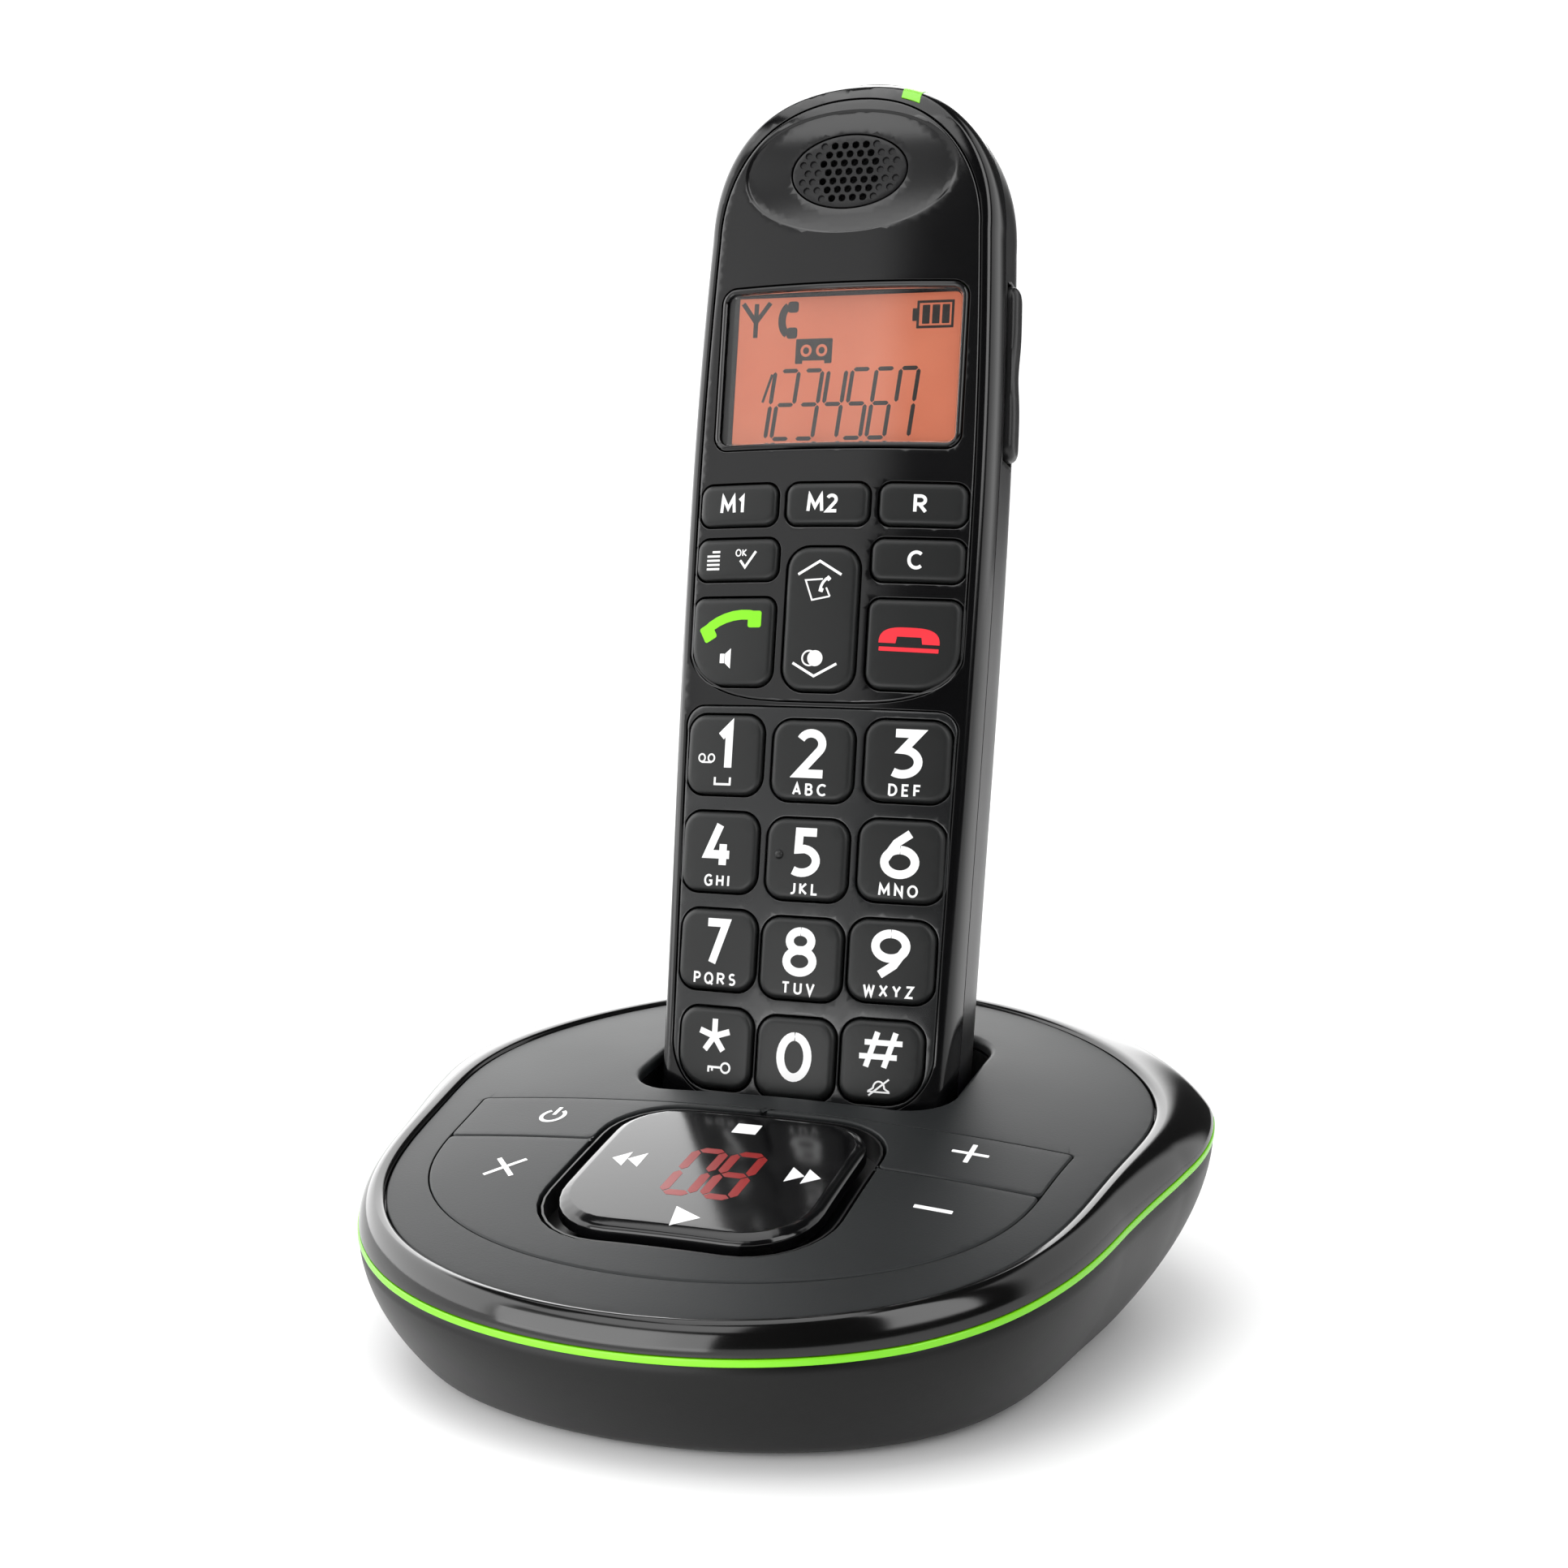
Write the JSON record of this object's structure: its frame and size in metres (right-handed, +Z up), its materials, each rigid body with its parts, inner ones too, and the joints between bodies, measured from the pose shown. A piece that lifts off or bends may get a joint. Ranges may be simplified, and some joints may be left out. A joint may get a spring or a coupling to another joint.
{
  "type": "cordless phone with charging base",
  "caption": "Slim upright cordless telephone handset with large keys and an amber display, leaning in a rounded charging base with answering machine keys and a thin green accent line.",
  "frame": {"origin": "middle of the bounding box, on the surface the base stands on", "axes": "+Z up, the keypad faces -Y and leans back, +X to the right of somebody facing the phone"},
  "size_m": [0.1254, 0.1316, 0.1889],
  "materials": {
    "base_lower_plastic": "satin moulded",
    "accent_green": "smooth",
    "rim_gloss_black": "polished",
    "plate_matte_grey": "fine matt texture",
    "satin_black": "satin",
    "gloss_black": "polished",
    "face_black": "polished",
    "keypad_grey": "satin gloss",
    "contact_metal": "plated",
    "speaker_metal": "plain",
    "board_green": "laminate",
    "display_red": "lit segments",
    "foot_rubber": "matt",
    "lens_clear": "clear acrylic window",
    "lcd_amber": "backlit",
    "mat_rubber": "matt",
    "indicator_green": "translucent",
    "cell_wrap": "shrink wrap",
    "key_plastic": "satin"
  },
  "bodies": {
    "base": {"base_shell": "base_lower_plastic", "accent_line": "accent_green", "base_rim": "rim_gloss_black", "top_plate": "plate_matte_grey", "cradle_cup": "satin_black", "charge_contact_left": "contact_metal", "charge_contact_right": "contact_metal", "rocker_well": "satin_black", "message_display": "display_red", "base_board": "board_green", "line_socket": "satin_black", "power_socket": "satin_black", "base_speaker": "speaker_metal", "foot_front_left": "foot_rubber", "foot_front_right": "foot_rubber", "foot_rear_left": "foot_rubber", "foot_rear_right": "foot_rubber"},
    "handset": {"front_shell": "gloss_black", "rear_shell": "satin_black", "upper_face_panel": "face_black", "keypad_panel": "keypad_grey", "earpiece_grille": "satin_black", "earpiece_speaker": "speaker_metal", "display_lens": "lens_clear", "lcd_module": "lcd_amber", "handset_board": "board_green", "keypad_mat": "mat_rubber", "indicator_light": "indicator_green", "battery_holder": "satin_black", "battery_left": "cell_wrap", "battery_right": "cell_wrap", "charge_pad_left": "contact_metal", "charge_pad_right": "contact_metal"},
    "key_1_body": {"key_1": "key_plastic"},
    "key_2_body": {"key_2": "key_plastic"},
    "key_3_body": {"key_3": "key_plastic"},
    "key_4_body": {"key_4": "key_plastic"},
    "key_5_body": {"key_5": "key_plastic"},
    "key_6_body": {"key_6": "key_plastic"},
    "key_7_body": {"key_7": "key_plastic"},
    "key_8_body": {"key_8": "key_plastic"},
    "key_9_body": {"key_9": "key_plastic"},
    "key_star_body": {"key_star": "key_plastic"},
    "key_0_body": {"key_0": "key_plastic"},
    "key_hash_body": {"key_hash": "key_plastic"},
    "key_m1_body": {"key_m1": "key_plastic"},
    "key_m2_body": {"key_m2": "key_plastic"},
    "key_r_body": {"key_r": "key_plastic"},
    "menu_ok_key_body": {"menu_ok_key": "key_plastic"},
    "clear_key_body": {"clear_key": "key_plastic"},
    "talk_key_body": {"talk_key": "key_plastic"},
    "end_key_body": {"end_key": "key_plastic"},
    "nav_body": {"nav_rocker": "key_plastic"},
    "side_volume_body": {"side_volume_rocker": "satin_black"},
    "battery_door_body": {"battery_door": "satin_black"},
    "power_key_body": {"power_key": "plate_matte_grey"},
    "volume_up_key_body": {"volume_up_key": "plate_matte_grey"},
    "delete_down_body": {"delete_volume_down_rocker": "plate_matte_grey"},
    "gimbal_body": {"rocker_gimbal": "satin_black"},
    "transport_body": {"transport_rocker": "gloss_black"}
  },
  "joints": [
    {"name": "handset_lift", "type": "slide", "parent": "base", "child": "handset", "axis": [0, 0.1718, 0.9851], "range_m": [0, 0.045]},
    {"name": "key_1_press", "type": "slide", "parent": "handset", "child": "key_1_body", "axis": [0, 0.9851, -0.1718], "range_m": [0, 0.00045], "stiffness_N_per_m": 1500},
    {"name": "key_2_press", "type": "slide", "parent": "handset", "child": "key_2_body", "axis": [0, 0.9851, -0.1718], "range_m": [0, 0.00045], "stiffness_N_per_m": 1500},
    {"name": "key_3_press", "type": "slide", "parent": "handset", "child": "key_3_body", "axis": [0, 0.9851, -0.1718], "range_m": [0, 0.00045], "stiffness_N_per_m": 1500},
    {"name": "key_4_press", "type": "slide", "parent": "handset", "child": "key_4_body", "axis": [0, 0.9851, -0.1718], "range_m": [0, 0.00045], "stiffness_N_per_m": 1500},
    {"name": "key_5_press", "type": "slide", "parent": "handset", "child": "key_5_body", "axis": [0, 0.9851, -0.1718], "range_m": [0, 0.00045], "stiffness_N_per_m": 1500},
    {"name": "key_6_press", "type": "slide", "parent": "handset", "child": "key_6_body", "axis": [0, 0.9851, -0.1718], "range_m": [0, 0.00045], "stiffness_N_per_m": 1500},
    {"name": "key_7_press", "type": "slide", "parent": "handset", "child": "key_7_body", "axis": [0, 0.9851, -0.1718], "range_m": [0, 0.00045], "stiffness_N_per_m": 1500},
    {"name": "key_8_press", "type": "slide", "parent": "handset", "child": "key_8_body", "axis": [0, 0.9851, -0.1718], "range_m": [0, 0.00045], "stiffness_N_per_m": 1500},
    {"name": "key_9_press", "type": "slide", "parent": "handset", "child": "key_9_body", "axis": [0, 0.9851, -0.1718], "range_m": [0, 0.00045], "stiffness_N_per_m": 1500},
    {"name": "key_star_press", "type": "slide", "parent": "handset", "child": "key_star_body", "axis": [0, 0.9851, -0.1718], "range_m": [0, 0.00045], "stiffness_N_per_m": 1500},
    {"name": "key_0_press", "type": "slide", "parent": "handset", "child": "key_0_body", "axis": [0, 0.9851, -0.1718], "range_m": [0, 0.00045], "stiffness_N_per_m": 1500},
    {"name": "key_hash_press", "type": "slide", "parent": "handset", "child": "key_hash_body", "axis": [0, 0.9851, -0.1718], "range_m": [0, 0.00045], "stiffness_N_per_m": 1500},
    {"name": "key_m1_press", "type": "slide", "parent": "handset", "child": "key_m1_body", "axis": [0, 0.9851, -0.1718], "range_m": [0, 0.00045], "stiffness_N_per_m": 1500},
    {"name": "key_m2_press", "type": "slide", "parent": "handset", "child": "key_m2_body", "axis": [0, 0.9851, -0.1718], "range_m": [0, 0.00045], "stiffness_N_per_m": 1500},
    {"name": "key_r_press", "type": "slide", "parent": "handset", "child": "key_r_body", "axis": [0, 0.9851, -0.1718], "range_m": [0, 0.00045], "stiffness_N_per_m": 1500},
    {"name": "menu_ok_key_press", "type": "slide", "parent": "handset", "child": "menu_ok_key_body", "axis": [0, 0.9851, -0.1718], "range_m": [0, 0.00045], "stiffness_N_per_m": 1500},
    {"name": "clear_key_press", "type": "slide", "parent": "handset", "child": "clear_key_body", "axis": [0, 0.9851, -0.1718], "range_m": [0, 0.00045], "stiffness_N_per_m": 1500},
    {"name": "talk_key_press", "type": "slide", "parent": "handset", "child": "talk_key_body", "axis": [0, 0.9851, -0.1718], "range_m": [0, 0.00045], "stiffness_N_per_m": 1500},
    {"name": "end_key_press", "type": "slide", "parent": "handset", "child": "end_key_body", "axis": [0, 0.9851, -0.1718], "range_m": [0, 0.00045], "stiffness_N_per_m": 1500},
    {"name": "nav_rocker_tilt", "type": "hinge", "parent": "handset", "child": "nav_body", "pos_m": [0, 0.02283, 0.10309], "axis": [1, 0, 0], "range_deg": [-2, 2], "stiffness_Nm_per_rad": 1},
    {"name": "side_volume_tilt", "type": "hinge", "parent": "handset", "child": "side_volume_body", "pos_m": [0.0226, 0.0386, 0.14175], "axis": [0, 0.9851, -0.1718], "range_deg": [-1.2, 1.2], "stiffness_Nm_per_rad": 1.5},
    {"name": "battery_door_removal", "type": "slide", "parent": "handset", "child": "battery_door_body", "axis": [0, 0.9851, -0.1718], "range_m": [0, 0.012]},
    {"name": "power_key_press", "type": "slide", "parent": "base", "child": "power_key_body", "axis": [0, 0, -1], "range_m": [0, 0.0005], "stiffness_N_per_m": 1500},
    {"name": "volume_up_key_press", "type": "slide", "parent": "base", "child": "volume_up_key_body", "axis": [0, 0, -1], "range_m": [0, 0.0005], "stiffness_N_per_m": 1500},
    {"name": "delete_volume_down_tilt", "type": "hinge", "parent": "base", "child": "delete_down_body", "pos_m": [0, -0.03377, 0.0255], "axis": [0, 1, 0], "range_deg": [-0.6, 0.6], "stiffness_Nm_per_rad": 4},
    {"name": "transport_play_stop_tilt", "type": "hinge", "parent": "base", "child": "gimbal_body", "pos_m": [0, -0.02687, 0.02499], "axis": [1, 0, 0], "range_deg": [-0.9, 0.9], "stiffness_Nm_per_rad": 1.5},
    {"name": "transport_skip_tilt", "type": "hinge", "parent": "gimbal_body", "child": "transport_body", "pos_m": [0, -0.02687, 0.02499], "axis": [0, 0.9815, 0.1915], "range_deg": [-0.9, 0.9], "stiffness_Nm_per_rad": 1.5}
  ]
}
